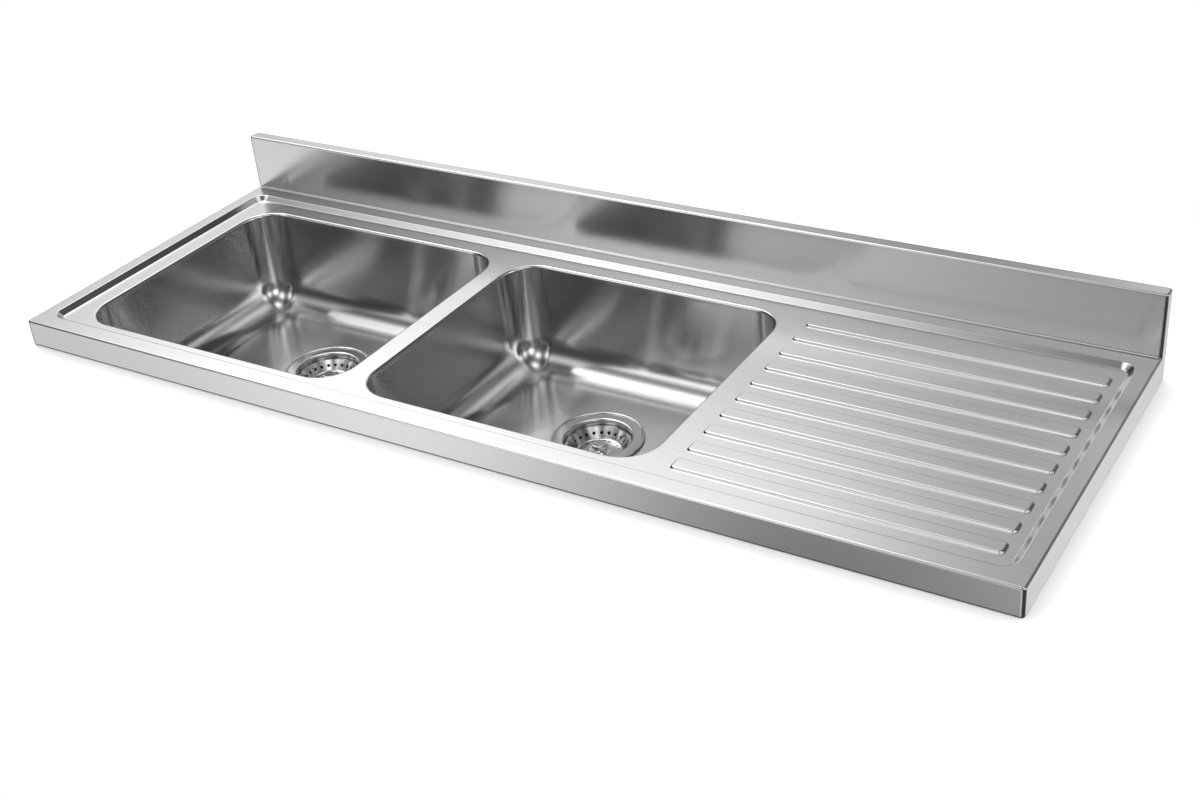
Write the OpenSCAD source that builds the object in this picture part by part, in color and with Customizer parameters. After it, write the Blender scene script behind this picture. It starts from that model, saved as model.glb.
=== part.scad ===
// Double-bowl sink top with a drainboard on the right.
// One pressed and folded sheet carries two welded bowls, and each bowl has a basket strainer waste.
// X runs along the length, Y from the front to the wall, Z up.
// The origin is the middle of the front return lip, on the plane that the folded edge sits on.

/* [Sink top] */
// Overall length, end face to end face
sink_l = 1500; // [1400:5:1800]
// Overall depth, front face to the back of the upstand
sink_w = 535; // [525:5:620]
// Height of the folded front and side edges
edge_h = 40; // [34:1:60]
// Thickness of the stainless sheet
sheet_t = 1.2; // [1:0.1:1.5]
// Width of the return lip folded in at the foot of the edges
lip_w = 16; // [12:1:22]
// Outside radius of the folded edges
bend_r = 3; // [2:0.1:4]
// Radius of the upright front corners
corner_r = 5; // [4.5:0.5:8]

/* [Recess] */
// Width of the raised rim at both ends
side_rim = 22; // [15:1:40]
// Width of the raised rim at the front
front_rim = 27; // [18:1:32]
// Width of the raised rim before the upstand
back_rim = 24; // [15:1:32]
// Depth of the recessed deck below the rim
recess_d = 7; // [5:0.5:9]
// Horizontal run of the sloping step down to the deck
recess_run = 8; // [5:0.5:9]
// Corner radius of the recess at the rim
recess_r = 20; // [14:1:30]
// Radius of the bends at the top and at the foot of the step
step_bend_r = 2.5; // [2:0.1:3]

/* [Upstand] */
// Height of the upstand above the rim
upstand_h = 90; // [60:1:150]
// Thickness of the box-section upstand
upstand_t = 22; // [18:1:40]
// Length of the pressed cap welded on each end
cap_depth = 12; // [9:1:20]

/* [Bowls] */
// Length of the left bowl's opening
bowl_left_w = 474; // [400:2:490]
// Length of the right bowl's opening
bowl_right_w = 440; // [400:2:470]
// Opening of both bowls from front to back
bowl_fb = 401; // [385:1:405]
// Depth of the bowls below the recessed deck
bowl_depth = 163; // [145:1:250]
// Corner radius of the bowl openings
bowl_r = 50; // [44:1:60]
// Radius of the cove between the bowl walls and the floor
bowl_cove_r = 44; // [20:1:44]
// Draft of the bowl walls in degrees
bowl_draft = 1.5; // [1:0.1:2]
// Thickness of the bowl sheet
bowl_t = 1; // [0.8:0.1:1.2]
// Radius of the rounded edge round each opening
lip_r = 4; // [3:0.1:5]
// Depth of the collar that each bowl is welded to
collar_h = 8; // [6:0.5:12]
// Distance from the left end to the left bowl
bowl_side = 62; // [55:1:80]
// Distance from the front face to the bowls
bowl_front = 50; // [48:1:56]
// Width of the bridge between the bowls
bridge_w = 37; // [30:1:50]

/* [Drainboard] */
// Number of raised ribs
rib_count = 10; // [6:1:10]
// Distance from one rib to the next
rib_pitch = 41.9; // [36:0.1:43]
// Width of a rib at its foot
rib_w = 24; // [16:0.5:28]
// Height of a rib above the deck
rib_h = 3; // [2:0.1:4]
// Horizontal run of a rib's sloping sides
rib_run = 2.2; // [1.8:0.1:3]
// Corner radius of a rib at its foot
rib_r = 6; // [5:0.1:7.5]
// Radius of the bend round a rib's top
rib_top_bend_r = 2.2; // [1.8:0.1:2.6]
// Radius of the bend round a rib's foot
rib_foot_bend_r = 1.2; // [0.8:0.1:1.6]
// Distance from the right bowl to the ribs
rib_gap = 36; // [28:1:60]
// Distance from the ribs to the right end
rib_end = 43; // [38:1:70]
// Distance from the front face to the first rib
rib_front = 54; // [44:1:60]

/* [Underside] */
// Height of a stiffening channel
channel_h = 25; // [15:1:28]
// Width of a channel's crown
channel_w = 36; // [24:1:50]
// Width of each flange of a channel
channel_flange = 14; // [10:1:20]
// Thickness of the channel sheet
channel_t = 1.5; // [1:0.1:2]
// Space left at both ends of a channel
channel_end_gap = 6; // [4:1:12]
// Leg length of a corner gusset
gusset_leg = 90; // [70:1:100]
// Thickness of a corner gusset
gusset_t = 3; // [2:0.5:4]
// Distance from both outer faces to a gusset's bolt hole
bolt_inset = 34; // [30:1:38]
// Radius of a gusset's bolt hole
bolt_r = 4.5; // [3.5:0.1:5.5]
// Thickness of the sound-deadening pads
pad_t = 3; // [2:0.5:5]
// Depth of a bowl's pad from front to back
pad_fb = 95; // [60:1:100]
// Space left between the drainboard's pad and the channels
pad_gap = 5; // [2:0.5:6]

/* [Waste] */
// Distance of the wastes behind the middle of the bowls
waste_back = 37; // [20:1:60]
// Inside radius of the strainer cup
cup_r = 48.5; // [46:0.1:50]
// Thickness of the strainer cup's wall
cup_t = 3; // [2:0.1:3.5]
// Depth of the strainer cup below the bowl's floor
cup_depth = 34; // [33:0.5:45]
// Outer radius of the strainer's flange
flange_r = 67.5; // [64:0.1:70]
// Thickness of the strainer's flange
flange_t = 1.5; // [1:0.1:2]
// Radius of the rolled bead round the flange
bead_r = 2.2; // [2:0.1:2.4]
// Radius of the rounded step from the flange into the cup
mouth_r = 3; // [2.5:0.1:4]
// Radius of the outlet's bore
outlet_r = 19; // [18:0.1:20]
// Radius of the outlet's thread
thread_r = 23.9; // [22:0.1:24.5]
// Length of the outlet's thread
thread_l = 22; // [16:1:30]
// Thickness of the seal above the bowl's floor
top_seal_t = 1.5; // [1:0.1:2]
// Thickness of the seal below the bowl's floor
low_seal_t = 3; // [2:0.1:4]
// Thickness of the fibre ring between seal and nut
friction_t = 1.2; // [0.8:0.1:2]
// Height of the ring nut
nut_h = 10; // [8:0.5:14]
// Outer radius of the ring nut's body
nut_r = 62; // [60:0.5:66]
// Number of grip lugs on the ring nut
lug_count = 6; // [4:1:8]
// Reach of a lug past the nut's body
lug_reach = 6; // [4:0.5:8]
// Width of a lug
lug_w = 12; // [8:0.5:16]

/* [Basket] */
// Depth of the basket's rim below the flange's face
basket_drop = 8.6; // [7:0.1:10]
// Clearance between the basket's rim and the cup
basket_gap = 1; // [0.6:0.1:1.5]
// Width of the basket's flat rim
basket_rim = 3; // [2.5:0.1:4]
// Thickness of the basket's sheet
basket_t = 0.8; // [0.6:0.1:1]
// Height of the basket
basket_h = 16; // [14:0.5:17]
// Radius at which the basket's wall would meet its floor
basket_floor_r = 34; // [33:0.5:36]
// Radius of the bend from the basket's wall to its floor
pan_bend_r = 4; // [2:0.5:4.5]
// Number of holes in each ring of holes
hole_count = 22; // [16:1:24]
// Radius of the holes in the sloping wall
wall_hole_r = 2.4; // [1.8:0.1:2.6]
// Radius of the holes in the basket's floor
floor_hole_r = 1.5; // [1:0.1:1.8]
// Radius of the ring of holes in the floor
floor_ring_r = 29.5; // [28:0.5:30]
// Radius of the knob's top
knob_r = 9.4; // [8:0.1:11]
// Radius of the knob's waist
knob_waist_r = 6; // [5:0.1:7]
// Radius of the knob's flared foot
knob_foot_r = 17; // [14:0.5:20]
// Height of the knob above the basket's floor
knob_h = 14; // [12:0.5:17]
// Radius of the stem through knob, basket and plug
stem_r = 3; // [2.5:0.1:3.5]
// Outer radius of the rubber plug
plug_r = 27; // [25:0.5:30]
// Radius of the disc under the plug
disc_r = 15; // [12:0.5:16]
// Thickness of the disc under the plug
disc_t = 1.5; // [1:0.1:2]
// Height of the nut on the stem
stem_nut_h = 5; // [4:0.1:6]
// Width of the stem nut across its flats
stem_nut_af = 10; // [9:0.5:13]

/* [Fits] */
// Clearance round threads and stems
thread_gap = 0.15; // [0.1:0.01:0.25]
// Clearance between pieces that sit loosely
seat_gap = 0.3; // [0.2:0.05:0.5]
// Clearance round the strainer cup in the bowl's hole
hole_gap = 1; // [0.6:0.1:1.5]

/* [Hidden] */
$fn = 96;
// Overshoot of every cut past the face that it opens
over = 1;
// How far a sloping wall runs into the arc that it meets, so that the two always cross
lap = 0.002;
// Places of the faces along X, Y and Z
left_x = -sink_l / 2;
right_x = sink_l / 2;
front_y = -lip_w / 2;
back_y = front_y + sink_w;
upstand_y = back_y - upstand_t;
rim_z = edge_h;
deck_z = rim_z - recess_d;
top_z = rim_z + upstand_h;
floor_z = deck_z - bowl_depth;
// The recess, as its middle and its size at the rim
recess_l = sink_l - 2 * side_rim;
recess_w = upstand_y - back_rim - (front_y + front_rim);
recess_mid_y = (upstand_y - back_rim + front_y + front_rim) / 2;
// The bowls
left_bowl_x = left_x + bowl_side + bowl_left_w / 2;
right_bowl_x = left_x + bowl_side + bowl_left_w + bridge_w + bowl_right_w / 2;
bowl_y = front_y + bowl_front + bowl_fb / 2;
bowl_top_z = deck_z - collar_h;
bowl_wall_h = bowl_depth - collar_h;
// The cove is no larger than the drafted corner leaves room for, with a little flat at its foot
cove_flat = 3;
cove_room = ((bowl_r - cove_flat) * cos(bowl_draft) - bowl_wall_h * sin(bowl_draft)) / (1 - sin(bowl_draft));
cove_r = min(bowl_cove_r, cove_room);
// Distance from the corner's axis to the middle of the cove's arc
cove_x = bowl_r - (cove_r + (bowl_wall_h - cove_r) * sin(bowl_draft)) / cos(bowl_draft);
// The ribs
rib_x1 = left_x + bowl_side + bowl_left_w + bridge_w + bowl_right_w + rib_gap;
rib_x2 = right_x - rib_end;
rib_l = rib_x2 - rib_x1;
rib_first_y = front_y + rib_front + rib_w / 2;
// The channels reach from slope to slope under the deck
channel_y1 = front_y + front_rim + recess_run + channel_end_gap;
channel_y2 = upstand_y - back_rim - recess_run - channel_end_gap;
channel_x1 = rib_x1 + channel_w / 2 + channel_flange + channel_end_gap;
channel_x2 = rib_x2 - channel_w / 2 - channel_flange - channel_end_gap;
// The waste, measured from the upper face of the bowl's floor
waste_y = bowl_y + waste_back;
waste_hole_r = cup_r + cup_t + hole_gap;
flange_z = top_seal_t + flange_t;
seal_in_r = waste_hole_r + seat_gap;
low_seal_r = nut_r - seat_gap;
nut_z = -bowl_t - low_seal_t - friction_t;
cup_foot_z = -cup_depth - cup_t;
cup_corner_r = 6;
// The basket, measured from the same face
basket_z = flange_z - basket_drop;
basket_out_r = cup_r - basket_gap;
basket_wall_r = basket_out_r - basket_rim;
basket_floor_z = basket_z - basket_h;
wall_slope = atan((basket_wall_r - basket_floor_r) / basket_h);
plug_z = -cup_depth + seat_gap;
plug_lip_t = 4;
plug_boss_r = 12;
plug_seat_r = outlet_r + 3;
stem_in_knob = 8;
stem_tail = 1.5;
// Where the driving plate of the strainer's bead lies
bead_x = flange_r - bead_r;
bead_z = bead_r + seat_gap;

// Both halves of a profile, a span apart, with the space between them filled from lo to hi
module both_sides(span, lo, hi) {
    translate([-span / 2, lo]) square([span, hi - lo]);
    translate([span / 2, 0]) children();
    mirror([1, 0]) translate([span / 2, 0]) children();
}

// A profile carried round a rectangle: the profile starts at the corner's axis and reaches outwards
module swept(span_x, span_y, lo, hi) {
    rotate([90, 0, 90]) linear_extrude(height = span_x, center = true)
        both_sides(span_y, lo, hi) children();
    for (side = [-1, 1])
        translate([side * span_x / 2, 0, 0]) mirror([side < 0 ? 1 : 0, 0, 0])
            rotate([90, 0, 0]) linear_extrude(height = span_y, center = true) children();
    for (sx = [0, 1], sy = [0, 1])
        mirror([sx, 0, 0]) mirror([0, sy, 0]) translate([span_x / 2, span_y / 2, 0])
            rotate_extrude(angle = 90) children();
}

// The half section of a pressing, from the level it is pressed in (z = 0) down to its floor.
// The straight slope would reach the level at r; grow moves the whole outline outwards.
module pressed_section(r, run, depth, floor_bend, level_bend, grow, z_hi) {
    slope = atan(depth / run);
    away = [sin(slope), -cos(slope)];
    low_mid = [r - run - floor_bend * tan(slope / 2), floor_bend - depth];
    high_mid = [r + level_bend * tan(slope / 2), -level_bend];
    low_r = floor_bend + grow;
    high_r = level_bend - grow;
    slope_foot = low_mid + (low_r - lap) * away;
    slope_top = high_mid - (high_r - lap) * away;
    difference() {
        union() {
            polygon([[0, -depth - grow], [low_mid.x, -depth - grow], slope_foot, slope_top,
                [high_mid.x, slope_top.y], [high_mid.x, z_hi], [0, z_hi]]);
            translate(low_mid) mirror([0, 1]) quarter(low_r);
        }
        translate(high_mid) circle(r = high_r);
    }
}

// A quarter of a disc
module quarter(r) {
    intersection() {
        circle(r = r);
        square([r, r]);
    }
}

// A slab with round upright corners, a rounded top edge and, if foot isn't 0, a rounded lower edge
module folded_slab(l, w, r, bend, foot, z_lo, z_hi) {
    swept(l - 2 * r, w - 2 * r, z_lo, z_hi) {
        union() {
            translate([0, z_lo + foot]) square([r, z_hi - z_lo - bend - foot]);
            translate([0, z_lo]) square([r - bend, z_hi - z_lo]);
            translate([r - bend, z_hi - bend]) quarter(bend);
            if (foot > 0) translate([r - foot, z_lo + foot]) mirror([0, 1]) quarter(foot);
        }
    }
}

// The rim with the folded edges and their return lips, as one shell open below
module edge_shell() {
    bend_in = bend_r - sheet_t;
    difference() {
        translate([0, (front_y + back_y) / 2, 0])
            folded_slab(sink_l, sink_w, corner_r, bend_r, bend_r, 0, rim_z);
        translate([0, (front_y + back_y) / 2, 0])
            folded_slab(sink_l - 2 * sheet_t, sink_w - 2 * sheet_t, corner_r - sheet_t,
                bend_in, bend_in, sheet_t, rim_z - sheet_t);
        translate([left_x + lip_w, front_y + lip_w, -over])
            cube([sink_l - 2 * lip_w, sink_w - 2 * lip_w, sheet_t + 2 * over]);
    }
}

// The upstand as a block with rounded upright and top edges, or the space inside its sheet
module upstand_form(inset, z_lo) {
    translate([0, back_y - upstand_t / 2, 0])
        folded_slab(sink_l - 2 * inset, upstand_t - 2 * inset, corner_r - inset,
            bend_r - inset, 0, z_lo, top_z - inset);
}

// The stretch at an end of the upstand that its cap takes, above the rim
module cap_zone(side) {
    x = side < 0 ? left_x - over : right_x - cap_depth;
    translate([x, upstand_y - over, rim_z])
        cube([cap_depth + over, upstand_t + 2 * over, upstand_h + over]);
}

// An outline drawn in Y and Z, carried along X from x1 to x2
module along_x(x1, x2) {
    translate([x1, 0, 0]) rotate([90, 0, 90]) linear_extrude(height = x2 - x1) children();
}

// The rounded crease where the rim turns up into the upstand
module base_crease() {
    foot = sheet_t / 2;
    along_x(left_x + corner_r, right_x - corner_r)
        difference() {
            translate([upstand_y - bend_r, rim_z - foot]) square([bend_r, bend_r + foot]);
            translate([upstand_y - bend_r, rim_z + bend_r]) circle(r = bend_r);
        }
}

// The space of the recess, or the pan round it when it is grown by a sheet thickness
module recess_form(grow, z_hi) {
    translate([0, recess_mid_y, rim_z])
        swept(recess_l - 2 * recess_r, recess_w - 2 * recess_r, -recess_d - grow, z_hi)
            pressed_section(recess_r, recess_run, recess_d, step_bend_r, step_bend_r, grow, z_hi);
}

// One rib pressed up from the deck, or the hollow below it when it is shrunk by a sheet thickness
module rib_form(shrink, depth) {
    translate([0, 0, deck_z]) mirror([0, 0, 1])
        swept(rib_l - 2 * rib_r, rib_w - 2 * rib_r, shrink - rib_h, depth)
            pressed_section(rib_r, rib_run, rib_h, rib_top_bend_r, rib_foot_bend_r, -shrink, depth);
}

// All the ribs, or all the hollows below them
module ribs(shrink, depth) {
    for (i = [0 : rib_count - 1])
        translate([(rib_x1 + rib_x2) / 2, rib_first_y + i * rib_pitch, 0]) rib_form(shrink, depth);
}

// The rounded edge of an opening and the collar below it, as the sheet or as the space inside
module opening_form(x, w, wall, z_lo, z_hi) {
    round_r = lip_r - wall;
    translate([x, bowl_y, 0])
        swept(w - 2 * bowl_r, bowl_fb - 2 * bowl_r, z_lo, z_hi) {
            union() {
                translate([0, z_lo]) square([bowl_r + wall, deck_z - lip_r - z_lo]);
                difference() {
                    translate([0, deck_z - lip_r - over]) square([bowl_r + lip_r, z_hi - deck_z + lip_r + over]);
                    translate([bowl_r + lip_r, deck_z - lip_r]) circle(r = round_r);
                    translate([bowl_r + wall, deck_z - lip_r - 2 * over]) square([lip_r + over, 2 * over]);
                }
            }
        }
}

// The sink top: one sheet of even thickness, with rim, recess, ribs, collars, edges and upstand
module sink_top() color("silver") {
    difference() {
        union() {
            difference() {
                union() {
                    edge_shell();
                    recess_form(sheet_t, -sheet_t / 2);
                    difference() {
                        upstand_form(0, rim_z - bend_r);
                        cap_zone(-1);
                        cap_zone(1);
                    }
                }
                recess_form(0, over);
                upstand_form(sheet_t, edge_h / 2);
            }
            ribs(0, sheet_t / 2);
            opening_form(left_bowl_x, bowl_left_w, sheet_t, bowl_top_z, deck_z - sheet_t / 2);
            opening_form(right_bowl_x, bowl_right_w, sheet_t, bowl_top_z, deck_z - sheet_t / 2);
            base_crease();
        }
        ribs(sheet_t, sheet_t + over);
        opening_form(left_bowl_x, bowl_left_w, 0, bowl_top_z - over, deck_z + over);
        opening_form(right_bowl_x, bowl_right_w, 0, bowl_top_z - over, deck_z + over);
    }
}

// An end cap: a pressed piece with the upstand's own outline, closed at the end
module upstand_cap(side) {
    intersection() {
        difference() {
            upstand_form(0, rim_z - bend_r);
            upstand_form(sheet_t, edge_h / 2);
        }
        cap_zone(side);
    }
}

module upstand_cap_left() color("silver") upstand_cap(-1);
module upstand_cap_right() color("silver") upstand_cap(1);

// The bowl's drafted wall, cove and floor, as the outside or as the space inside
module bowl_form(w, wall, z_hi) {
    r = cove_r + wall;
    mid_z = floor_z + cove_r;
    foot_x = cove_x + (r - lap) * cos(bowl_draft);
    foot_z = mid_z - (r - lap) * sin(bowl_draft);
    top_x = bowl_r + wall / cos(bowl_draft) + (z_hi - bowl_top_z) * tan(bowl_draft);
    swept(w - 2 * bowl_r, bowl_fb - 2 * bowl_r, floor_z - wall, z_hi) {
        union() {
            polygon([[0, z_hi], [top_x, z_hi], [foot_x, foot_z], [0, foot_z]]);
            intersection() {
                translate([cove_x, mid_z]) circle(r = r);
                translate([0, mid_z - r]) square([cove_x + r, r]);
            }
            translate([0, mid_z - r]) square([cove_x, r]);
        }
    }
}

// A pressed bowl, welded under its collar, with the hole for the waste
module bowl(x, w) {
    difference() {
        translate([x, bowl_y, 0]) bowl_form(w, bowl_t, bowl_top_z);
        translate([x, bowl_y, 0]) bowl_form(w, 0, bowl_top_z + over);
        translate([x, waste_y, floor_z - bowl_t - over]) cylinder(r = waste_hole_r, h = bowl_t + 2 * over);
    }
}

module bowl_left() color("silver") bowl(left_bowl_x, bowl_left_w);
module bowl_right() color("silver") bowl(right_bowl_x, bowl_right_w);

// A top-hat channel from front to back, with its flanges against the underside of the deck
module channel(x) {
    z_hi = deck_z - sheet_t;
    l = channel_y2 - channel_y1;
    translate([x, channel_y1, z_hi]) {
        for (side = [-1, 1]) {
            translate([side * (channel_w + channel_flange) / 2 - channel_flange / 2, 0, -channel_t])
                cube([channel_flange, l, channel_t]);
            translate([side * (channel_w - channel_t) / 2 - channel_t / 2, 0, -channel_h])
                cube([channel_t, l, channel_h]);
        }
        translate([-channel_w / 2, 0, -channel_h]) cube([channel_w, l, channel_t]);
    }
}

module channel_left() color("gainsboro") channel(channel_x1);
module channel_right() color("gainsboro") channel(channel_x2);

// The pad glued under the drainboard between the channels
module drainer_pad() color("dimgray") {
    side = channel_w / 2 + channel_flange + pad_gap;
    translate([channel_x1 + side, channel_y1, deck_z - sheet_t - pad_t])
        cube([channel_x2 - channel_x1 - 2 * side, channel_y2 - channel_y1, pad_t]);
}

// A triangular plate in a corner, on the return lips, with the bolt hole for a leg or a stand
module gusset(sx, sy) {
    x = sx < 0 ? left_x : right_x;
    y = sy < 0 ? front_y : back_y;
    face = bend_r + seat_gap;
    cut = corner_r;
    translate([x, y, sheet_t]) mirror([sx > 0 ? 1 : 0, 0, 0]) mirror([0, sy > 0 ? 1 : 0, 0])
        difference() {
            linear_extrude(height = gusset_t)
                polygon([[face + cut, face], [face + gusset_leg, face], [face + gusset_leg, face + lip_w],
                    [face + lip_w, face + gusset_leg], [face, face + gusset_leg], [face, face + cut]]);
            translate([bolt_inset, bolt_inset, -over]) cylinder(r = bolt_r, h = gusset_t + 2 * over);
        }
}

module gusset_front_left() color("gainsboro") gusset(-1, -1);
module gusset_front_right() color("gainsboro") gusset(1, -1);
module gusset_back_left() color("gainsboro") gusset(-1, 1);
module gusset_back_right() color("gainsboro") gusset(1, 1);

// The pad glued under a bowl's floor, in front of the waste
module bowl_pad(x, w) {
    l = w - 2 * bowl_r;
    y_back = waste_y - nut_r - lug_reach - channel_end_gap;
    translate([x - l / 2, y_back - pad_fb, floor_z - bowl_t - pad_t]) cube([l, pad_fb, pad_t]);
}

module bowl_pad_left() color("dimgray") bowl_pad(left_bowl_x, bowl_left_w);
module bowl_pad_right() color("dimgray") bowl_pad(right_bowl_x, bowl_right_w);

// Places a waste's piece, drawn about its own axis from the bowl's floor
module at_waste(x) {
    translate([x, waste_y, floor_z]) children();
}

// A flat ring between two radii
module ring(r_in, r_out, z, h) {
    translate([0, 0, z]) difference() {
        cylinder(r = r_out, h = h);
        translate([0, 0, -over]) cylinder(r = r_in, h = h + 2 * over);
    }
}

// The half section of the strainer body: beaded flange, rounded mouth, cup and threaded outlet
module strainer_section() {
    out_r = cup_r + cup_t;
    translate([cup_r + mouth_r, top_seal_t]) square([bead_x - cup_r - mouth_r, flange_t]);
    translate([bead_x, bead_z]) circle(r = bead_r);
    intersection() {
        translate([cup_r + mouth_r, flange_z - mouth_r]) circle(r = mouth_r);
        translate([cup_r, flange_z - mouth_r]) square([mouth_r, mouth_r]);
    }
    translate([cup_r, -cup_depth]) square([cup_t, cup_depth + flange_z - mouth_r]);
    translate([outlet_r, cup_foot_z]) square([out_r - outlet_r, cup_t]);
    difference() {
        translate([cup_r - cup_corner_r, -cup_depth]) square([cup_corner_r, cup_corner_r]);
        translate([cup_r - cup_corner_r, -cup_depth + cup_corner_r]) circle(r = cup_corner_r);
    }
    translate([outlet_r, cup_foot_z - thread_l]) square([thread_r - outlet_r, thread_l]);
}

module strainer_body() rotate_extrude() strainer_section();
module strainer_body_left() color("gainsboro") at_waste(left_bowl_x) strainer_body();
module strainer_body_right() color("gainsboro") at_waste(right_bowl_x) strainer_body();

// The rubber seal between the flange and the bowl's floor
module top_seal() ring(seal_in_r, bead_x - bead_r - seat_gap, 0, top_seal_t);
module top_seal_left() color("black") at_waste(left_bowl_x) top_seal();
module top_seal_right() color("black") at_waste(right_bowl_x) top_seal();

// The rubber seal under the bowl's floor
module low_seal() ring(seal_in_r, low_seal_r, -bowl_t - low_seal_t, low_seal_t);
module low_seal_left() color("black") at_waste(left_bowl_x) low_seal();
module low_seal_right() color("black") at_waste(right_bowl_x) low_seal();

// The fibre ring that lets the nut turn without dragging the seal
module friction_ring() ring(seal_in_r, low_seal_r, nut_z, friction_t);
module friction_ring_left() color("tan") at_waste(left_bowl_x) friction_ring();
module friction_ring_right() color("tan") at_waste(right_bowl_x) friction_ring();

// The ring nut on the cup, with grip lugs
module ring_nut() {
    bore_r = cup_r + cup_t + thread_gap;
    translate([0, 0, nut_z - nut_h]) difference() {
        union() {
            cylinder(r = nut_r, h = nut_h);
            for (i = [0 : lug_count - 1])
                rotate([0, 0, i * 360 / lug_count])
                    translate([bore_r + over, -lug_w / 2, 0]) cube([nut_r + lug_reach - bore_r - over, lug_w, nut_h]);
        }
        translate([0, 0, -over]) cylinder(r = bore_r, h = nut_h + 2 * over);
    }
}

module ring_nut_left() color("whitesmoke") at_waste(left_bowl_x) ring_nut();
module ring_nut_right() color("whitesmoke") at_waste(right_bowl_x) ring_nut();

// The basket's pan as a solid of revolution, drawn at its lower face or inset from it
module pan_form(inset, z_hi) {
    r = pan_bend_r - inset;
    // The bend's centre lies one bend radius from the floor and from the sloping wall
    mid_x = basket_floor_r + pan_bend_r * tan(wall_slope) - pan_bend_r / cos(wall_slope);
    mid_z = basket_floor_z + pan_bend_r;
    top_x = basket_floor_r + (z_hi - basket_floor_z) * tan(wall_slope) - inset / cos(wall_slope);
    foot_x = mid_x + (r - lap) * cos(wall_slope);
    foot_z = mid_z - (r - lap) * sin(wall_slope);
    rotate_extrude() {
        union() {
            polygon([[0, z_hi], [top_x, z_hi], [foot_x, foot_z], [0, foot_z]]);
            translate([mid_x, mid_z]) circle(r = r);
            translate([0, mid_z - r]) square([mid_x, r]);
        }
    }
}

// The perforated basket: a ring of holes square to the sloping wall, and one in the floor
module basket() {
    mid_r = (basket_wall_r + basket_floor_r) / 2;
    mid_z = basket_z - basket_h / 2;
    drill = 6;
    difference() {
        union() {
            pan_form(0, basket_z);
            ring(basket_wall_r - basket_t, basket_out_r, basket_z - basket_t, basket_t);
        }
        pan_form(basket_t, basket_z + over);
        translate([0, 0, basket_floor_z - over]) cylinder(r = stem_r + thread_gap, h = basket_t + 2 * over);
        for (i = [0 : hole_count - 1]) rotate([0, 0, i * 360 / hole_count]) {
            translate([mid_r, 0, mid_z]) rotate([0, 90 + wall_slope, 0])
                cylinder(r = wall_hole_r, h = drill, center = true, $fn = 24);
            rotate([0, 0, 180 / hole_count]) translate([floor_ring_r, 0, basket_floor_z])
                cylinder(r = floor_hole_r, h = drill, center = true, $fn = 24);
        }
    }
}

module basket_left() color("lightgray") at_waste(left_bowl_x) basket();
module basket_right() color("lightgray") at_waste(right_bowl_x) basket();

// The knob: a round top on a waist that flares to the basket's floor, hollow for the stem
module knob() {
    foot_z = basket_floor_z + basket_t;
    top = foot_z + knob_h;
    edge = 1.2;
    flare = knob_foot_r - knob_waist_r;
    cap_h = 5;
    rotate_extrude() difference() {
        union() {
            translate([0, top - cap_h]) square([knob_r, cap_h - edge]);
            translate([0, top - cap_h]) square([knob_r - edge, cap_h]);
            translate([knob_r - edge, top - edge]) circle(r = edge);
            translate([0, foot_z]) square([knob_waist_r, knob_h - cap_h]);
            difference() {
                translate([0, foot_z]) square([knob_foot_r, min(flare, knob_h - cap_h)]);
                translate([knob_foot_r, foot_z + flare + edge]) circle(r = flare);
                translate([knob_waist_r + flare, foot_z + edge]) square([flare, flare]);
            }
        }
        translate([-over, foot_z - over]) square([stem_r + thread_gap + over, stem_in_knob + over]);
    }
}

module knob_left() color("lightgray") at_waste(left_bowl_x) knob();
module knob_right() color("lightgray") at_waste(right_bowl_x) knob();

// The stem that holds knob, basket and plug together
module stem() {
    z_lo = plug_z - disc_t - stem_nut_h - stem_tail;
    z_hi = basket_floor_z + basket_t + stem_in_knob - seat_gap;
    translate([0, 0, z_lo]) cylinder(r = stem_r, h = z_hi - z_lo);
}

module stem_left() color("gray") at_waste(left_bowl_x) stem();
module stem_right() color("gray") at_waste(right_bowl_x) stem();

// The rubber plug: a boss under the basket and a lip that closes the outlet
module plug() {
    rotate_extrude() difference() {
        union() {
            translate([0, plug_z]) square([plug_boss_r, basket_floor_z - plug_z]);
            polygon([[0, plug_z], [plug_seat_r, plug_z], [plug_r, plug_z + plug_lip_t / 2],
                [plug_r, plug_z + plug_lip_t], [0, plug_z + plug_lip_t]]);
        }
        translate([-over, plug_z - over]) square([stem_r + thread_gap + over, basket_floor_z - plug_z + 2 * over]);
    }
}

module plug_left() color("black") at_waste(left_bowl_x) plug();
module plug_right() color("black") at_waste(right_bowl_x) plug();

// The disc that clamps the plug from below, inside the outlet
module plug_disc() ring(stem_r + thread_gap, disc_r, plug_z - disc_t, disc_t);
module plug_disc_left() color("gray") at_waste(left_bowl_x) plug_disc();
module plug_disc_right() color("gray") at_waste(right_bowl_x) plug_disc();

// The hexagon nut at the foot of the stem
module stem_nut() {
    translate([0, 0, plug_z - disc_t - stem_nut_h]) difference() {
        cylinder(r = stem_nut_af / 2 / cos(30), h = stem_nut_h, $fn = 6);
        translate([0, 0, -over]) cylinder(r = stem_r + thread_gap, h = stem_nut_h + 2 * over);
    }
}

module stem_nut_left() color("gray") at_waste(left_bowl_x) stem_nut();
module stem_nut_right() color("gray") at_waste(right_bowl_x) stem_nut();

sink_top();
upstand_cap_left();
upstand_cap_right();
bowl_left();
bowl_right();
channel_left();
channel_right();
drainer_pad();
gusset_front_left();
gusset_front_right();
gusset_back_left();
gusset_back_right();
bowl_pad_left();
bowl_pad_right();
strainer_body_left();
top_seal_left();
low_seal_left();
friction_ring_left();
ring_nut_left();
basket_left();
knob_left();
stem_left();
plug_left();
plug_disc_left();
stem_nut_left();
strainer_body_right();
top_seal_right();
low_seal_right();
friction_ring_right();
ring_nut_right();
basket_right();
knob_right();
stem_right();
plug_right();
plug_disc_right();
stem_nut_right();
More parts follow.
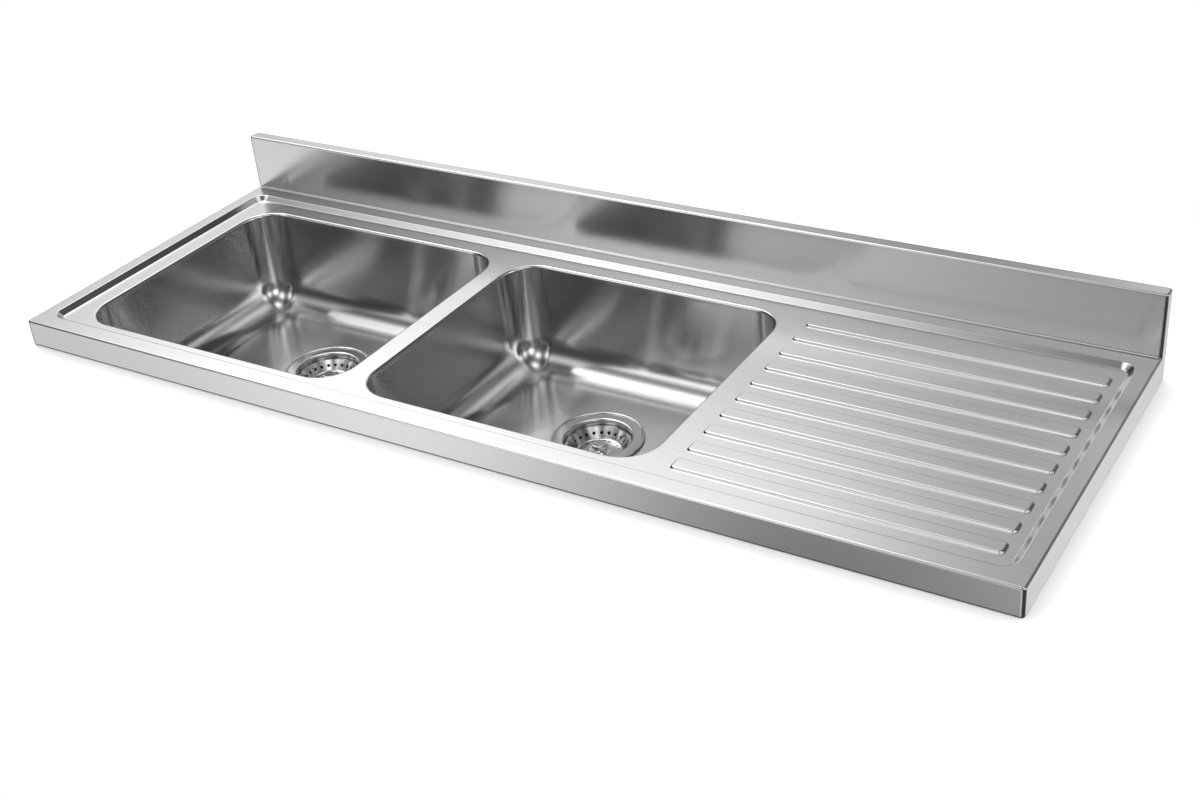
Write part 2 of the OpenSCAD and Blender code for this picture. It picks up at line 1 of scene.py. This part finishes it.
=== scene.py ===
"""Double-bowl stainless sink with a drainboard: finishes, studio and camera.

Laid out as an add-on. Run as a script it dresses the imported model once, in the order of main().
Lengths are in metres and in the model's own frame: X along the sink, Y from the front to the wall, Z up.
"""

from math import cos, log, radians, sin

import bpy
from bpy.props import FloatProperty, FloatVectorProperty, PointerProperty, StringProperty
from mathutils import Matrix, Vector


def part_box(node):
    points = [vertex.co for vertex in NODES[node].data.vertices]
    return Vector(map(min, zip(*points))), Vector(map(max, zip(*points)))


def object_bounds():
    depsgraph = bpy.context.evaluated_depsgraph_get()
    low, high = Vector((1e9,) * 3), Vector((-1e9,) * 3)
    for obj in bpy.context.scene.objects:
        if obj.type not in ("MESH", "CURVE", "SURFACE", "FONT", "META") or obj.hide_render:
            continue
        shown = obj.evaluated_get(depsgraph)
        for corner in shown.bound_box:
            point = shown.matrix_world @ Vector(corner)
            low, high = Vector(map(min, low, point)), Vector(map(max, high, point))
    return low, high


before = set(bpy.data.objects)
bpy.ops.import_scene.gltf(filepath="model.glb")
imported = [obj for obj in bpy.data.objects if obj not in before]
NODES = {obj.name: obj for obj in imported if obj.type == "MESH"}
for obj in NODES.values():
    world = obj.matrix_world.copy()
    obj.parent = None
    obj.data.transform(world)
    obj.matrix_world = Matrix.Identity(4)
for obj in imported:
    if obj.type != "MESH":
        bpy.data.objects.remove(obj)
cad_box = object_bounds()

bl_info = {
    "name": "Stainless sink with drainboard",
    "version": (1, 0, 0),
    "blender": (4, 5, 0),
    "location": "3D View > Sidebar > Sink",
    "description": "Gives the packed sink its steel, rubber and plastic finishes and a studio",
    "category": "Object",
}

MM = 0.001
SIDES = ("left", "right")

# The picture's width in pixels, in which the focal length is given, and the camera's sensor width in mm
IMAGE_WIDTH = 1200
SENSOR = 36.0

# Most of a noise texture's values lie between these two
NOISE_LOW = 0.25
NOISE_HIGH = 0.75

# How far the roughness of the sheet and the bowls strays from its mean, from streak to streak
ROUGHNESS_SWING = 0.015


# Colours and nodes

def linear(hex_colour):
    """Turns an sRGB hex colour such as #C8C9CA into linear red, green, blue and alpha."""
    parts = [int(hex_colour[i:i + 2], 16) / 255 for i in (1, 3, 5)]
    return tuple(c / 12.92 if c <= 0.04045 else ((c + 0.055) / 1.055) ** 2.4 for c in parts) + (1.0,)


def add_node(tree, kind, settings=None, inputs=None):
    """Adds a node with its settings; an input is a value, or another node's socket to link."""
    node = tree.nodes.new(kind)
    for name, value in (settings or {}).items():
        setattr(node, name, value)
    for name, value in (inputs or {}).items():
        if isinstance(value, bpy.types.NodeSocket):
            tree.links.new(value, node.inputs[name])
        else:
            node.inputs[name].default_value = value
    return node


def new_material(name, inputs):
    """A material with one Principled shader, returned with its tree and shader."""
    material = bpy.data.materials.new(name)
    material.use_nodes = True
    tree = material.node_tree
    tree.nodes.clear()
    shader = add_node(tree, "ShaderNodeBsdfPrincipled", None, inputs)
    add_node(tree, "ShaderNodeOutputMaterial", None, {"Surface": shader.outputs["BSDF"]})
    return material, tree, shader


# Materials

def grind(tree, shader, streaks, finish, roughness):
    """Lays ground streaks over a steel: each is a little darker or lighter, smoother or rougher."""
    grain = add_node(tree, "ShaderNodeTexNoise", None, {
        "Vector": streaks, "Scale": 1.0, "Detail": 3.0, "Roughness": 0.6})
    rough = add_node(tree, "ShaderNodeMapRange", None, {
        "Value": grain.outputs["Fac"], "From Min": NOISE_LOW, "From Max": NOISE_HIGH,
        "To Min": roughness - ROUGHNESS_SWING, "To Max": roughness + ROUGHNESS_SWING})
    tone = add_node(tree, "ShaderNodeMix", {"data_type": "RGBA"}, {
        "Factor": grain.outputs["Fac"], "A": linear(finish.groove_hex), "B": linear(finish.steel_hex)})
    tree.links.new(rough.outputs[0], shader.inputs["Roughness"])
    tree.links.new(tone.outputs["Result"], shader.inputs["Base Color"])


def belt_ground_stainless(finish):
    """304 stainless sheet, ground along its length with a fine belt: reflections spread across the grain.

    The real grain is about 0.05 mm wide, too fine to show, so the streaks are drawn some 0.9 mm wide.
    On faces that look along X, such as the two ends, the grain runs upright.
    """
    streak_long = 140 * MM
    streak_wide = 0.9 * MM
    # From this much of its normal along X, a face counts as one that looks along X
    end_facing = 0.7
    nudge = 0.02
    material, tree, shader = new_material("Stainless_304_belt_ground", {
        "Metallic": 1.0, "Anisotropic": finish.sheet_anisotropy})
    place = add_node(tree, "ShaderNodeTexCoord")
    normal = add_node(tree, "ShaderNodeNewGeometry")
    facing = add_node(tree, "ShaderNodeSeparateXYZ", None, {"Vector": normal.outputs["Normal"]})
    sideways = add_node(tree, "ShaderNodeMath", {"operation": "ABSOLUTE"}, {0: facing.outputs["X"]})
    is_end = add_node(tree, "ShaderNodeMath", {"operation": "GREATER_THAN"}, {
        0: sideways.outputs[0], 1: end_facing})
    along = add_node(tree, "ShaderNodeMapping", None, {
        "Vector": place.outputs["Object"], "Scale": (1 / streak_long, 1 / streak_wide, 1 / streak_wide)})
    down = add_node(tree, "ShaderNodeMapping", None, {
        "Vector": place.outputs["Object"], "Scale": (1 / streak_wide, 1 / streak_wide, 1 / streak_long)})
    streaks = add_node(tree, "ShaderNodeMix", {"data_type": "VECTOR"}, {
        "Factor": is_end.outputs[0], "A": along.outputs[0], "B": down.outputs[0]})
    grind(tree, shader, streaks.outputs["Result"], finish, finish.sheet_roughness)
    # Across the grain lies in the surface and square to X; the nudge gives the end faces a direction too
    cross_way = add_node(tree, "ShaderNodeVectorMath", {"operation": "CROSS_PRODUCT"}, {
        0: normal.outputs["Normal"], 1: (1.0, 0.0, 0.0)})
    across = add_node(tree, "ShaderNodeVectorMath", {"operation": "ADD"}, {
        0: cross_way.outputs[0], 1: (0.0, nudge, 0.0)})
    tree.links.new(across.outputs[0], shader.inputs["Tangent"])
    return material


def drawn_stainless(finish):
    """304 stainless bowl, drawn and then satin-finished round its walls: wide soft streaks in the corners.

    As on the sheet, the grain is drawn coarser than the real one, which is too fine to show.
    """
    streak_long = 90 * MM
    streak_wide = 0.9 * MM
    nudge = 0.05
    material, tree, shader = new_material("Stainless_304_drawn_satin", {
        "Metallic": 1.0, "Anisotropic": finish.bowl_anisotropy})
    place = add_node(tree, "ShaderNodeTexCoord")
    streaks = add_node(tree, "ShaderNodeMapping", None, {
        "Vector": place.outputs["Object"], "Scale": (1 / streak_long, 1 / streak_long, 1 / streak_wide)})
    grind(tree, shader, streaks.outputs[0], finish, finish.bowl_roughness)
    # Across the grain is up the walls; the nudge gives the level floor a direction too
    across = add_node(tree, "ShaderNodeCombineXYZ", None, {"Y": nudge, "Z": 1.0})
    tree.links.new(across.outputs[0], shader.inputs["Tangent"])
    return material


def polished_stainless(finish):
    """304 stainless pressing, polished on a wheel: nearly clear reflections with a faint turned mark."""
    mark_wide = 0.7 * MM
    smoothest = 0.1
    roughest = 0.2
    material, tree, shader = new_material("Stainless_304_polished", {
        "Base Color": linear(finish.steel_hex), "Metallic": 1.0, "Anisotropic": 0.4})
    place = add_node(tree, "ShaderNodeTexCoord")
    marks = add_node(tree, "ShaderNodeTexNoise", None, {
        "Vector": place.outputs["Object"], "Scale": 1 / mark_wide, "Detail": 2.0})
    rough = add_node(tree, "ShaderNodeMapRange", None, {
        "Value": marks.outputs["Fac"], "To Min": smoothest, "To Max": roughest})
    tree.links.new(rough.outputs[0], shader.inputs["Roughness"])
    round_axis = add_node(tree, "ShaderNodeTangent", {"direction_type": "RADIAL", "axis": "Z"})
    tree.links.new(round_axis.outputs[0], shader.inputs["Tangent"])
    return material


def zinc_coated_steel():
    """Mild steel sheet, hot-dip zinc coated: a dull blue-grey with faint crystal patches."""
    crystal = 12 * MM
    material, tree, shader = new_material("Zinc_coated_steel", {"Metallic": 1.0, "Roughness": 0.42})
    place = add_node(tree, "ShaderNodeTexCoord")
    cells = add_node(tree, "ShaderNodeTexVoronoi", None, {
        "Vector": place.outputs["Object"], "Scale": 1 / crystal})
    tone = add_node(tree, "ShaderNodeMix", {"data_type": "RGBA"}, {
        "Factor": cells.outputs["Distance"], "A": linear("#9CA0A5"), "B": linear("#B9BCBF")})
    tree.links.new(tone.outputs["Result"], shader.inputs["Base Color"])
    return material


def moulded_rubber():
    """Black EPDM rubber, moulded: matt, with a faint grey bloom."""
    bloom_patch = 6 * MM
    material, tree, shader = new_material("Rubber_EPDM_moulded", {"Roughness": 0.62})
    place = add_node(tree, "ShaderNodeTexCoord")
    bloom = add_node(tree, "ShaderNodeTexNoise", None, {
        "Vector": place.outputs["Object"], "Scale": 1 / bloom_patch, "Detail": 4.0})
    tone = add_node(tree, "ShaderNodeMix", {"data_type": "RGBA"}, {
        "Factor": bloom.outputs["Fac"], "A": linear("#151516"), "B": linear("#262627")})
    tree.links.new(tone.outputs["Result"], shader.inputs["Base Color"])
    return material


def punched_fibre():
    """Vulcanised fibre, punched from sheet: a warm tan with short fibres."""
    fibre_long = 1.5 * MM
    material, tree, shader = new_material("Fibre_punched", {"Roughness": 0.75})
    place = add_node(tree, "ShaderNodeTexCoord")
    fibres = add_node(tree, "ShaderNodeTexNoise", None, {
        "Vector": place.outputs["Object"], "Scale": 1 / fibre_long, "Detail": 5.0, "Distortion": 1.5})
    tone = add_node(tree, "ShaderNodeMix", {"data_type": "RGBA"}, {
        "Factor": fibres.outputs["Fac"], "A": linear("#8F7553"), "B": linear("#B99E79")})
    tree.links.new(tone.outputs["Result"], shader.inputs["Base Color"])
    return material


def moulded_polypropylene():
    """White polypropylene, injection moulded: soft sheen over a very fine texture."""
    grain_wide = 0.4 * MM
    grain_deep = 0.05 * MM
    material, tree, shader = new_material("Polypropylene_moulded", {
        "Base Color": linear("#DAD9D4"), "Roughness": 0.42, "IOR": 1.49})
    place = add_node(tree, "ShaderNodeTexCoord")
    texture = add_node(tree, "ShaderNodeTexNoise", None, {
        "Vector": place.outputs["Object"], "Scale": 1 / grain_wide, "Detail": 2.0})
    bump = add_node(tree, "ShaderNodeBump", None, {
        "Height": texture.outputs["Fac"], "Strength": 0.15, "Distance": grain_deep})
    tree.links.new(bump.outputs[0], shader.inputs["Normal"])
    return material


def bitumen_pad():
    """Self-adhesive bitumen damping sheet, rolled: dark grey and matt with an embossed grid."""
    cell_wide = 8 * MM
    cell_deep = 0.6 * MM
    material, tree, shader = new_material("Bitumen_rolled_sheet", {
        "Base Color": linear("#3A3B3D"), "Roughness": 0.8})
    place = add_node(tree, "ShaderNodeTexCoord")
    grid = add_node(tree, "ShaderNodeTexVoronoi", {"distance": "CHEBYCHEV"}, {
        "Vector": place.outputs["Object"], "Scale": 1 / cell_wide, "Randomness": 0.0})
    bump = add_node(tree, "ShaderNodeBump", None, {
        "Height": grid.outputs["Distance"], "Strength": 0.6, "Distance": cell_deep})
    tree.links.new(bump.outputs[0], shader.inputs["Normal"])
    return material


def white_laminate():
    """Matt white laminate board that the folded edges rest on."""
    material, _, _ = new_material("Board_white_laminate", {
        "Base Color": linear("#F4F4F3"), "Roughness": 0.9, "Specular IOR Level": 0.1})
    return material


def give(names, material):
    """Puts one material on the nodes with these names."""
    for name in names:
        mesh = NODES[name].data
        mesh.materials.clear()
        mesh.materials.append(material)


def both(*names):
    """The left and right node of each name."""
    return [f"{name}_{side}" for name in names for side in SIDES]


# Settings that a user would change

class SinkFinish(bpy.types.PropertyGroup):
    """Finishes of the steel"""
    steel_hex: StringProperty(
        name="Steel colour", description="Colour of bare stainless steel, as sRGB hex", default="#D0D0D0")
    groove_hex: StringProperty(
        name="Groove colour", description="Colour of the steel in the grain's deeper grooves, as sRGB hex",
        default="#BEBEBD")
    sheet_roughness: FloatProperty(
        name="Sheet roughness", description="Roughness of the ground sheet", default=0.18,
        min=0.05, max=0.8, subtype="FACTOR")
    sheet_anisotropy: FloatProperty(
        name="Sheet grain", description="How far the sheet's reflections spread across its grain",
        default=0.85, min=0.0, max=1.0, subtype="FACTOR")
    bowl_roughness: FloatProperty(
        name="Bowl roughness", description="Roughness of the drawn bowls", default=0.16,
        min=0.05, max=0.8, subtype="FACTOR")
    bowl_anisotropy: FloatProperty(
        name="Bowl grain", description="How far the bowls' reflections spread across their grain",
        default=0.95, min=0.0, max=1.0, subtype="FACTOR")


class SinkStage(bpy.types.PropertyGroup):
    """Camera and board"""
    camera_place: FloatVectorProperty(
        name="Camera", description="Where the camera stands", default=(1.139, -1.325, 1.099),
        subtype="TRANSLATION", unit="LENGTH")
    camera_azimuth: FloatProperty(
        name="Azimuth", description="Turn of the view, from straight at the wall to the left",
        default=radians(34.084), subtype="ANGLE")
    camera_elevation: FloatProperty(
        name="Elevation", description="How far the view looks down", default=radians(30.941), subtype="ANGLE")
    camera_roll: FloatProperty(
        name="Roll", description="Tilt of the picture", default=radians(-5.526), subtype="ANGLE")
    focal_pixels: FloatProperty(
        name="Focal length", description="Focal length in pixels of the 1200 pixel wide picture",
        default=1627.2, subtype="PIXEL")
    board_margin: FloatProperty(
        name="Board margin", description="How far the board reaches past the sink", default=0.45,
        unit="LENGTH")


# The pieces

class SINK_OT_steel(bpy.types.Operator):
    """Finishes the sink top, end caps, bowls, wastes and baskets in stainless steel"""
    bl_idname = "sink.steel"
    bl_label = "Steel"

    def execute(self, context):
        finish = context.scene.sink_finish
        give(["sink_top"] + both("upstand_cap"), belt_ground_stainless(finish))
        give(both("bowl"), drawn_stainless(finish))
        wastes = both("strainer_body", "basket", "knob", "stem", "plug_disc", "stem_nut")
        give(wastes, polished_stainless(finish))
        return {"FINISHED"}


class SINK_OT_underside(bpy.types.Operator):
    """Finishes the channels, gussets and pads, and the wastes' seals, plugs, rings and nuts"""
    bl_idname = "sink.underside"
    bl_label = "Underside"

    def execute(self, context):
        gussets = both("gusset_front", "gusset_back")
        give(both("channel") + gussets, zinc_coated_steel())
        give(["drainer_pad"] + both("bowl_pad"), bitumen_pad())
        give(both("top_seal", "low_seal", "plug"), moulded_rubber())
        give(both("friction_ring"), punched_fibre())
        give(both("ring_nut"), moulded_polypropylene())
        return {"FINISHED"}


# The studio's soft lights, as the steel sees them: name, azimuth, elevation, half width and brightness.
# Azimuth 0 is in front of the sink, 90 to its right and 180 behind it, all in degrees.
STUDIO_LIGHTS = (
    ("Key, behind on the left and high", 236, 53, 13, 4.8),
    ("Over the left end", 296, 58, 9, 2.8),
    ("Behind on the left", 229, 33, 9, 1.6),
    ("Behind", 208, 38, 6, 1.1),
    ("Behind, low", 213, 14, 8, 1.2),
    ("Behind the right end", 188, 28, 6, 1.6),
    ("Behind on the right", 158, 20, 9, 0.6),
    ("Right side", 94, 14, 11, 3.6),
    ("Front right, low", 62, 22, 8, 4.2),
    ("Front right, high", 36, 44, 9, 2.6),
    ("Overhead on the right", 110, 76, 10, 2.4),
    ("Front, high", 350, 41, 9, 2.2),
    ("Front left", 332, 22, 9, 2.0),
    ("Front left, low", 326, 5, 10, 1.8),
    ("White wall in front", 2, -4, 7, 0.9),
    ("White wall on the right", 92, -4, 7, 0.9),
    ("White floor behind on the right", 132, -14, 10, 1.0),
    ("White floor in front on the left", 306, -18, 9, 1.2),
    ("White floor, left", 319, -30, 8, 1.5),
    ("White floor in front", 350, -24, 9, 1.6),
    ("White floor below the front edge", 5, -40, 9, 1.0),
    ("White floor on the right", 154, -32, 16, 1.2),
)

# The room between the lights, the even light on matt things, and the white that the camera sees
ROOM_BRIGHTNESS = 0.06
FLOOR_LIGHT = 1.4
BACKDROP = 1.0


def toward(azimuth, elevation):
    """Unit vector towards an azimuth and an elevation in degrees."""
    flat = cos(radians(elevation))
    return Vector((sin(radians(azimuth)) * flat, -cos(radians(azimuth)) * flat, sin(radians(elevation))))


def add_world():
    """White round the sink, an even light on matt things, and the soft lights in the steel's reflections."""
    world = bpy.data.worlds.new("Studio")
    bpy.context.scene.world = world
    world.use_nodes = True
    tree = world.node_tree
    tree.nodes.clear()
    way = add_node(tree, "ShaderNodeTexCoord").outputs["Generated"]
    total = ROOM_BRIGHTNESS
    for name, azimuth, elevation, half_width, brightness in STUDIO_LIGHTS:
        # The light falls off to a half at its half width
        fall = log(2) / (1 - cos(radians(half_width)))
        facing = add_node(tree, "ShaderNodeVectorMath", {"operation": "DOT_PRODUCT", "label": name}, {
            0: way, 1: toward(azimuth, elevation)})
        power = add_node(tree, "ShaderNodeMath", {"operation": "MULTIPLY_ADD"}, {
            0: facing.outputs["Value"], 1: fall, 2: log(brightness) - fall})
        glow = add_node(tree, "ShaderNodeMath", {"operation": "EXPONENT"}, {0: power.outputs[0]})
        total = add_node(tree, "ShaderNodeMath", {"operation": "ADD"}, {
            0: glow.outputs[0], 1: total}).outputs[0]
    ray = add_node(tree, "ShaderNodeLightPath")
    on_matt = add_node(tree, "ShaderNodeMix", {"data_type": "FLOAT"}, {
        "Factor": ray.outputs["Is Diffuse Ray"], "A": total, "B": FLOOR_LIGHT})
    seen = add_node(tree, "ShaderNodeMix", {"data_type": "FLOAT"}, {
        "Factor": ray.outputs["Is Camera Ray"], "A": on_matt.outputs["Result"], "B": BACKDROP})
    background = add_node(tree, "ShaderNodeBackground", None, {
        "Color": linear("#FFFFFF"), "Strength": seen.outputs["Result"]})
    add_node(tree, "ShaderNodeOutputWorld", None, {"Surface": background.outputs[0]})


def add_board(margin, material):
    """A flat board at the height of the folded edges' foot, cut out round each bowl."""
    clearance = 12 * MM
    foot = 0.0
    low, high = Vector(cad_box[0]), Vector(cad_box[1])
    xs = [low.x - margin]
    for side in SIDES:
        bowl_low, bowl_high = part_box(f"bowl_{side}")
        xs += [bowl_low.x - clearance, bowl_high.x + clearance]
    xs.append(high.x + margin)
    # Both bowls have the same front and back, so the last one gives them
    ys = [low.y - margin, bowl_low.y - clearance, bowl_high.y + clearance, high.y + margin]
    corners = [(x, y, foot) for y in ys for x in xs]
    wide = len(xs)
    faces = []
    for row in range(len(ys) - 1):
        for column in range(wide - 1):
            in_bowl = row == 1 and column in (1, 3)
            if not in_bowl:
                first = row * wide + column
                faces.append((first, first + 1, first + 1 + wide, first + wide))
    mesh = bpy.data.meshes.new("Board")
    mesh.from_pydata(corners, [], faces)
    mesh.materials.append(material)
    board = bpy.data.objects.new("Board", mesh)
    # The steel mirrors the studio's white floor lights in its place
    board.visible_glossy = False
    bpy.context.scene.collection.objects.link(board)


def add_camera(stage):
    """The camera of the photograph, from its place, its turn, its tilt and its focal length."""
    data = bpy.data.cameras.new("Camera")
    data.sensor_width = SENSOR
    data.lens = stage.focal_pixels * SENSOR / IMAGE_WIDTH
    azimuth, elevation, roll = stage.camera_azimuth, stage.camera_elevation, stage.camera_roll
    forward = Vector((-sin(azimuth) * cos(elevation), cos(azimuth) * cos(elevation), -sin(elevation)))
    level = Vector((cos(azimuth), sin(azimuth), 0.0))
    upright = level.cross(forward)
    right = level * cos(roll) + upright * sin(roll)
    up = right.cross(forward)
    turn = Matrix((right, up, -forward)).transposed()
    camera = bpy.data.objects.new("Camera", data)
    bpy.context.scene.collection.objects.link(camera)
    camera.matrix_world = Matrix.Translation(stage.camera_place) @ turn.to_4x4()
    bpy.context.scene.camera = camera


class SINK_OT_stage(bpy.types.Operator):
    """Builds the board, the soft lights, the white surroundings and the camera"""
    bl_idname = "sink.stage"
    bl_label = "Stage"

    def execute(self, context):
        stage = context.scene.sink_stage
        add_board(stage.board_margin, white_laminate())
        add_world()
        add_camera(stage)
        context.scene.view_settings.view_transform = "Standard"
        return {"FINISHED"}


class SINK_PT_panel(bpy.types.Panel):
    """The sink's steps and settings"""
    bl_label = "Sink"
    bl_space_type = "VIEW_3D"
    bl_region_type = "UI"
    bl_category = "Sink"

    def draw(self, context):
        layout = self.layout
        for group in (context.scene.sink_finish, context.scene.sink_stage):
            for name in group.__annotations__:
                layout.prop(group, name)
        for step in OPERATORS:
            layout.operator(step.bl_idname)


GROUPS = (SinkFinish, SinkStage)
OPERATORS = (SINK_OT_steel, SINK_OT_underside, SINK_OT_stage)
CLASSES = GROUPS + OPERATORS + (SINK_PT_panel,)


def register():
    for cls in CLASSES:
        bpy.utils.register_class(cls)
    bpy.types.Scene.sink_finish = PointerProperty(type=SinkFinish)
    bpy.types.Scene.sink_stage = PointerProperty(type=SinkStage)


def unregister():
    del bpy.types.Scene.sink_finish
    del bpy.types.Scene.sink_stage
    for cls in reversed(CLASSES):
        bpy.utils.unregister_class(cls)


def main():
    """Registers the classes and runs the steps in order."""
    register()
    bpy.ops.sink.steel()
    bpy.ops.sink.underside()
    bpy.ops.sink.stage()


if __name__ == "__main__":
    main()
